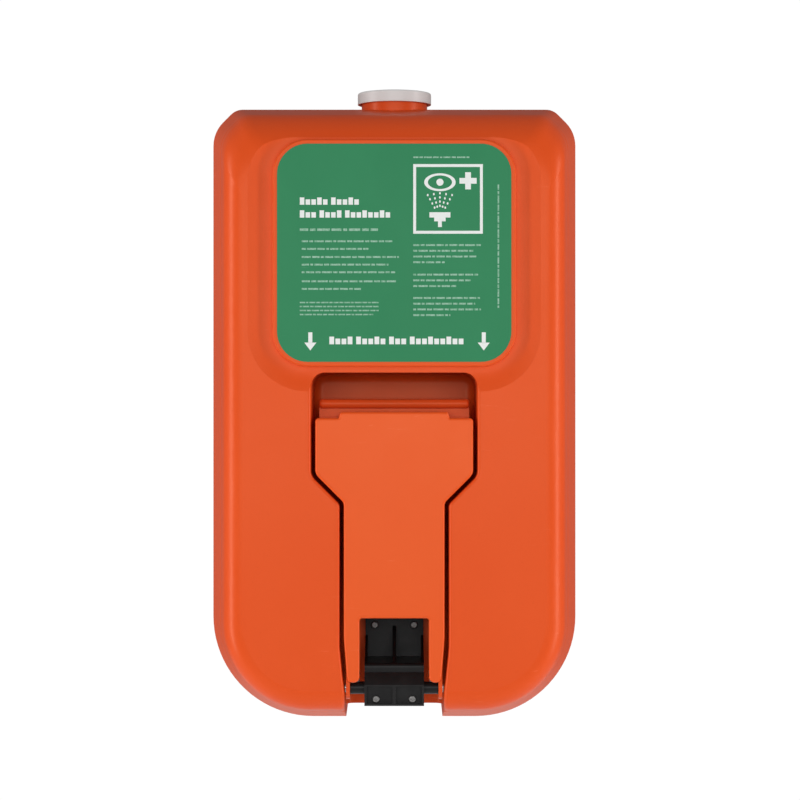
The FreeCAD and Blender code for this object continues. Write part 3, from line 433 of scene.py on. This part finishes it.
def pale_floor():
    """A plain pale studio floor."""
    finish = Finish("pale_floor", (0.90, 0.90, 0.895), 0.75, specular=0.2)
    finish.shader.inputs["Emission Color"].default_value = WHITE
    finish.shader.inputs["Emission Strength"].default_value = FLOOR_GLOW
    finish.clouds((0.92, 0.92, 0.915), 0.3, scale=1.2)
    finish.grain(40, 0.2 * MM, 0.1, detail=3.0)
    return finish.material


FINISH_OF_NODE = {
    "tank_shell": rotomoulded_orange,
    "arm_shell": arm_orange,
    "arm_tray": arm_orange,
    "fill_cap": cap_white,
    "spray_head_left": cap_white,
    "spray_head_right": cap_white,
    "cap_gasket": gasket_rubber,
    "outlet_seal": gasket_rubber,
    "rotor_seals": gasket_rubber,
    "wall_bumpers": gasket_rubber,
    "vent_plug": grey_plastic,
    "strainer": grey_plastic,
    "elbow_left": grey_plastic,
    "elbow_right": grey_plastic,
    "nozzle_nuts": grey_plastic,
    "valve_body": glass_filled_black,
    "bearing_cap": glass_filled_black,
    "valve_rotor": glass_filled_black,
    "hose_left": water_hose,
    "hose_right": water_hose,
    "outlet_fitting": turned_brass,
    "outlet_nut": turned_brass,
    "threaded_inserts": turned_brass,
    "wall_bracket": brushed_steel,
    "tank_cleat": brushed_steel,
    "cleat_screws": brushed_steel,
    "upper_valve_screws": dulled_steel,
    "bearing_cap_screws": dulled_steel,
    "pivot_screws": brushed_steel,
    "arm_screws": brushed_steel,
    "hose_clamps": brushed_steel,
    "spray_screens": brushed_steel,
}


def finish_nodes():
    """Gives every CAD node its finish, each finish made once."""
    made = {}
    for node, maker in FINISH_OF_NODE.items():
        if maker not in made:
            made[maker] = maker()
        slots = NODES[node].data.materials
        slots.clear()
        slots.append(made[maker])


# ---------------------------------------------------------------- label


def open_piece(name):
    """An empty mesh at the origin, open in edit mode, with nothing else selected."""
    bpy.ops.object.select_all(action="DESELECT")
    bpy.ops.mesh.primitive_cube_add(size=1)
    piece = bpy.context.active_object
    piece.name = name
    piece.data.name = name
    bpy.ops.object.mode_set(mode="EDIT")
    bpy.ops.mesh.delete(type="VERT")
    return piece


def close_piece(piece, material):
    """Leaves edit mode and hands the piece to the tank, which all of them ride on."""
    bpy.ops.object.mode_set(mode="OBJECT")
    piece.data.materials.append(material)
    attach(piece, "tank")


def label_film(material):
    """The green film itself, thinner than its CAD node by the ink that lies on it."""
    piece = open_piece("label_film")
    size = LABEL_HIGH - LABEL_LOW
    middle = (LABEL_HIGH + LABEL_LOW) / 2
    bpy.ops.mesh.primitive_cube_add(
        size=1,
        location=(middle.x, middle.y + INK / 2, middle.z),
        scale=(size.x, size.y - INK, size.z),
    )
    bpy.ops.mesh.select_mode(type="EDGE")
    bpy.ops.mesh.select_all(action="DESELECT")
    bpy.ops.object.mode_set(mode="OBJECT")
    for edge in piece.data.edges:
        first, last = (piece.data.vertices[i].co for i in edge.vertices)
        edge.select = abs(first.y - last.y) > size.y / 2
    bpy.ops.object.mode_set(mode="EDIT")
    bpy.ops.mesh.bevel(offset=LABEL_CORNER, segments=CORNER_STEPS)
    close_piece(piece, material)
    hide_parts("instruction_label")


def on_label(across, down):
    """A place in the middle of the ink."""
    return Vector((LABEL_LOW.x + across * MM, LABEL_LOW.y + INK / 2, LABEL_HIGH.z - down * MM))


def bar(left, top, wide, tall):
    """A bar of ink."""
    bpy.ops.mesh.primitive_cube_add(
        size=1,
        location=on_label(left + wide / 2, top + tall / 2),
        scale=(wide * MM, INK, tall * MM),
    )


def dot(across, down, wide, tall, sides):
    """A round or oval spot of ink."""
    bpy.ops.mesh.primitive_cylinder_add(
        vertices=sides, radius=0.5, depth=1,
        location=on_label(across, down), rotation=FACING_FRONT,
        scale=(wide * MM, tall * MM, INK),
    )


def line_of_words(left, top, right, tall, lengths):
    """Stands for a line of type: bars with word spaces, the last cut short at the margin."""
    start = left
    for length in lengths:
        wide = min(length * tall, right - start)
        if wide < tall / 2:
            break
        bar(start, top, wide, tall)
        start += wide + WORD_SPACE * tall


def line_of_type(left, top, tall, words):
    """Stands for large type: plain upright blocks, most of them shorter. None is a letter."""
    start = left
    for blocks in words:
        for block in range(blocks):
            short = BLOCK_SHORT * tall if block % 3 else 0
            bar(start, top + short, BLOCK_WIDE * tall, tall - short)
            start += BLOCK_STEP * tall
        start += BLOCK_SPACE * tall


def words_from(first):
    """The word lengths again, but starting at another word."""
    return WORDS[first:] + WORDS[:first]


def soften():
    """Takes the sharp edges off all the ink in the piece."""
    bpy.ops.mesh.select_all(action="SELECT")
    bpy.ops.mesh.bevel(offset=INK_EDGE, segments=1)


def large_print(material):
    """The heading over the instructions and the line along the foot of the label."""
    piece = open_piece("label_headings")
    for left, top, tall, words in HEADINGS:
        line_of_type(left, top, tall, words)
    soften()
    close_piece(piece, material)


def small_print(material):
    """The instructions themselves, as greeked lines in two columns and one along the side."""
    piece = open_piece("label_small_print")
    line_of_words(LEFT_MARGIN, LEAD_TOP, LEAD_RIGHT, LEAD_TALL, WORDS)
    for row, (top, right) in enumerate(LEFT_LINES):
        line_of_words(LEFT_COLUMN, top, right, BODY_TALL, words_from(row))
    for row, right in enumerate(FOOTNOTE_RIGHTS):
        top = FOOTNOTE_TOP + FOOTNOTE_STEP * row
        words = words_from(row + FOOTNOTE_FIRST_WORD)
        line_of_words(LEFT_MARGIN, top, right, FOOTNOTE_TALL, words)
    for row, (top, right) in enumerate(RIGHT_LINES):
        line_of_words(RIGHT_COLUMN, top, right, BODY_TALL, words_from(row % RIGHT_LINE_WORDS))
    line_of_words(RIGHT_COLUMN, TOP_LINE, TOP_LINE_RIGHT, FINE_TALL, WORDS)
    top = SIDE_LINE_TOP
    for length in WORDS + WORDS[:SIDE_LINE_EXTRA]:
        bar(SIDE_LINE_LEFT, top, FINE_TALL, length * FINE_TALL)
        top += length * FINE_TALL + SIDE_LINE_GAP
    soften()
    close_piece(piece, material)


def picture(material):
    """A plain picture in a frame: an eye over a spray of drops, and a first aid cross."""
    piece = open_piece("label_picture")
    left, top, side, line = RIGHT_COLUMN, PICTURE_TOP, PICTURE_SIDE, PICTURE_LINE
    bar(left, top, side, line)
    bar(left, top + side - line, side, line)
    bar(left, top + line, line, side - 2 * line)
    bar(left + side - line, top + line, line, side - 2 * line)
    for across, down, wide, tall in CROSS:
        bar(left + across, top + down, wide, tall)
    dot(left + EYE_ACROSS, top + EYE_DOWN, PUPIL, PUPIL, sides=20)
    for column in range(-2, 3):
        for row in range(DROP_ROWS):
            across = column * (DROP_SPREAD - DROP_NARROWING * row)
            down = DROP_TOP + DROP_ROW_STEP * row + abs(column)
            dot(left + EYE_ACROSS + across, top + down, DROP_WIDE, DROP_TALL, sides=12)
    for across, down, wide, tall in SPRAY_HEAD:
        bar(left + across, top + down, wide, tall)
    bpy.ops.mesh.select_all(action="DESELECT")
    eye = on_label(left + EYE_ACROSS, top + EYE_DOWN)
    bpy.ops.mesh.primitive_torus_add(
        major_segments=40, minor_segments=4,
        major_radius=EYELID_RADIUS * MM, minor_radius=EYELID_LINE * MM,
        location=eye, rotation=FACING_FRONT,
    )
    flatten = INK / (2 * EYELID_LINE * MM)
    bpy.ops.transform.resize(
        value=(EYELID_WIDEN, flatten, EYELID_FLATTEN), center_override=eye
    )
    close_piece(piece, material)


def arrows(material):
    """Two arrows that point down to the arm."""
    for name, middle in ARROW_MIDDLES:
        piece = open_piece(name)
        bar(middle - ARROW_SHAFT_WIDE / 2, ARROW_TOP, ARROW_SHAFT_WIDE, ARROW_SHAFT_TALL)
        bpy.ops.mesh.primitive_cylinder_add(
            vertices=3, radius=0.5, depth=1,
            location=on_label(middle, ARROW_HEAD_DOWN),
            rotation=(math.radians(90), math.radians(180), 0),
            scale=(ARROW_HEAD_WIDE * MM, ARROW_HEAD_TALL * MM, INK),
        )
        soften()
        close_piece(piece, material)


def dress_label():
    """The film and everything that is printed on it."""
    label_film(label_green())
    white = print_white()
    large_print(white)
    small_print(print_pale())
    picture(white)
    arrows(white)


# ---------------------------------------------------------------- moulded details


def neck_thread(name, start):
    """One coarse thread start moulded on the neck, which shows when the cap is off."""
    cap_low, cap_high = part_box("fill_cap")
    middle = (cap_low + cap_high) / 2
    low = cap_low.z + THREAD_FOOT
    piece = open_piece(name)
    bpy.ops.mesh.primitive_circle_add(
        vertices=BEAD_SIDES, radius=THREAD_BEAD, fill_type="NOTHING",
        location=(
            middle.x + NECK_RADIUS * math.cos(start),
            middle.y + NECK_RADIUS * math.sin(start),
            low,
        ),
        rotation=(math.radians(90), 0, start),
    )
    bpy.ops.mesh.spin(
        steps=THREAD_STEPS, angle=-math.radians(THREAD_TURN),
        center=(middle.x, middle.y, low), axis=(0, 0, 1),
    )
    bpy.ops.mesh.select_all(action="SELECT")
    bpy.ops.mesh.fill_holes(sides=0)
    bpy.ops.object.mode_set(mode="OBJECT")
    # The bead climbs as it turns. The small addition keeps its first ring, whose angle may
    # come out just under zero, from counting as a whole turn.
    for vertex in piece.data.vertices:
        turn = math.atan2(vertex.co.y - middle.y, vertex.co.x - middle.x) - start
        vertex.co.z += THREAD_LEAD * ((turn + 0.01) % math.tau) / math.tau
    bpy.ops.object.mode_set(mode="EDIT")
    bpy.ops.mesh.select_all(action="SELECT")
    bpy.ops.mesh.normals_make_consistent(inside=False)
    bpy.ops.object.mode_set(mode="OBJECT")
    bpy.ops.object.shade_smooth_by_angle(angle=math.radians(THREAD_SMOOTH))
    close_piece(piece, NODES["tank_shell"].data.materials[0])


def dress_neck():
    """The thread starts, evenly round the neck, the first from its front."""
    for number in range(THREAD_STARTS):
        start = math.radians(360 / THREAD_STARTS * number - 90)
        neck_thread(f"neck_thread_{number + 1}", start)


# ---------------------------------------------------------------- studio


def area_light(name, place, target, width, height, watts):
    """A soft box that faces its target."""
    data = bpy.data.lights.new(name, "AREA")
    data.shape = "RECTANGLE"
    data.size = width
    data.size_y = height
    data.energy = watts
    light = bpy.data.objects.new(name, data)
    light.location = place
    light.rotation_euler = (Vector(target) - Vector(place)).to_track_quat("-Z", "Y").to_euler()
    bpy.context.scene.collection.objects.link(light)


def pale_ground():
    """A round floor well below the tank."""
    bpy.ops.object.select_all(action="DESELECT")
    bpy.ops.mesh.primitive_circle_add(
        vertices=FLOOR_SIDES, radius=FLOOR_RADIUS, fill_type="NGON",
        location=(0, 0, TANK_LOW.z - FLOOR_DROP),
    )
    floor = bpy.context.active_object
    floor.name = "studio_floor"
    floor.data.materials.append(pale_floor())


def white_surround():
    """White all round as the camera sees it, but a softer light that fades towards the back."""
    world = bpy.data.worlds.new("studio")
    world.use_nodes = True
    nodes, links = world.node_tree.nodes, world.node_tree.links
    split = nodes.new("ShaderNodeSeparateXYZ")
    links.new(nodes.new("ShaderNodeTexCoord").outputs["Generated"], split.inputs["Vector"])
    fade = nodes.new("ShaderNodeMapRange")
    fade.interpolation_type = "SMOOTHSTEP"
    fade.inputs["From Min"].default_value = FADE_FROM
    fade.inputs["From Max"].default_value = FADE_TO
    fade.inputs["To Min"].default_value = SURROUND
    fade.inputs["To Max"].default_value = SURROUND_BEHIND
    links.new(split.outputs["Y"], fade.inputs["Value"])
    seen = nodes.new("ShaderNodeBackground")
    seen.inputs["Color"].default_value = WHITE
    seen.inputs["Strength"].default_value = BACKDROP
    lighting = nodes["Background"]
    lighting.inputs["Color"].default_value = WHITE
    links.new(fade.outputs["Result"], lighting.inputs["Strength"])
    choose = nodes.new("ShaderNodeMixShader")
    links.new(nodes.new("ShaderNodeLightPath").outputs["Is Camera Ray"], choose.inputs["Fac"])
    links.new(lighting.outputs["Background"], choose.inputs[1])
    links.new(seen.outputs["Background"], choose.inputs[2])
    links.new(choose.outputs["Shader"], nodes["World Output"].inputs["Surface"])
    bpy.context.scene.world = world


def soft_boxes():
    """A tall strip at each side and a wide box behind the camera."""
    middle = (TANK_LOW + TANK_HIGH) / 2
    for name, side in (("side_box_left", -1), ("side_box_right", 1)):
        place = (side * SIDE_OUT, middle.y - SIDE_FORWARD, middle.z)
        area_light(name, place, middle, SIDE_WIDTH, SIDE_HEIGHT, SIDE_WATTS)
    place = (0, FRONT - FRONT_AWAY, middle.z + FRONT_RAISE)
    area_light("front_box", place, middle, FRONT_WIDTH, FRONT_HEIGHT, FRONT_WATTS)


def aim_camera():
    """A long lens held level, straight at the front."""
    data = bpy.data.cameras.new("camera")
    data.lens = CAMERA_LENS
    data.sensor_width = SENSOR_WIDTH
    camera = bpy.data.objects.new("camera", data)
    camera.location = (CAMERA_SIDE, FRONT - CAMERA_DISTANCE, TANK_LOW.z + CAMERA_HEIGHT)
    camera.rotation_euler = (math.radians(90), 0, 0)
    bpy.context.scene.collection.objects.link(camera)
    bpy.context.scene.camera = camera


finish_nodes()
dress_label()
dress_neck()
pale_ground()
white_surround()
soft_boxes()
aim_camera()
bpy.context.scene.view_settings.view_transform = "Standard"
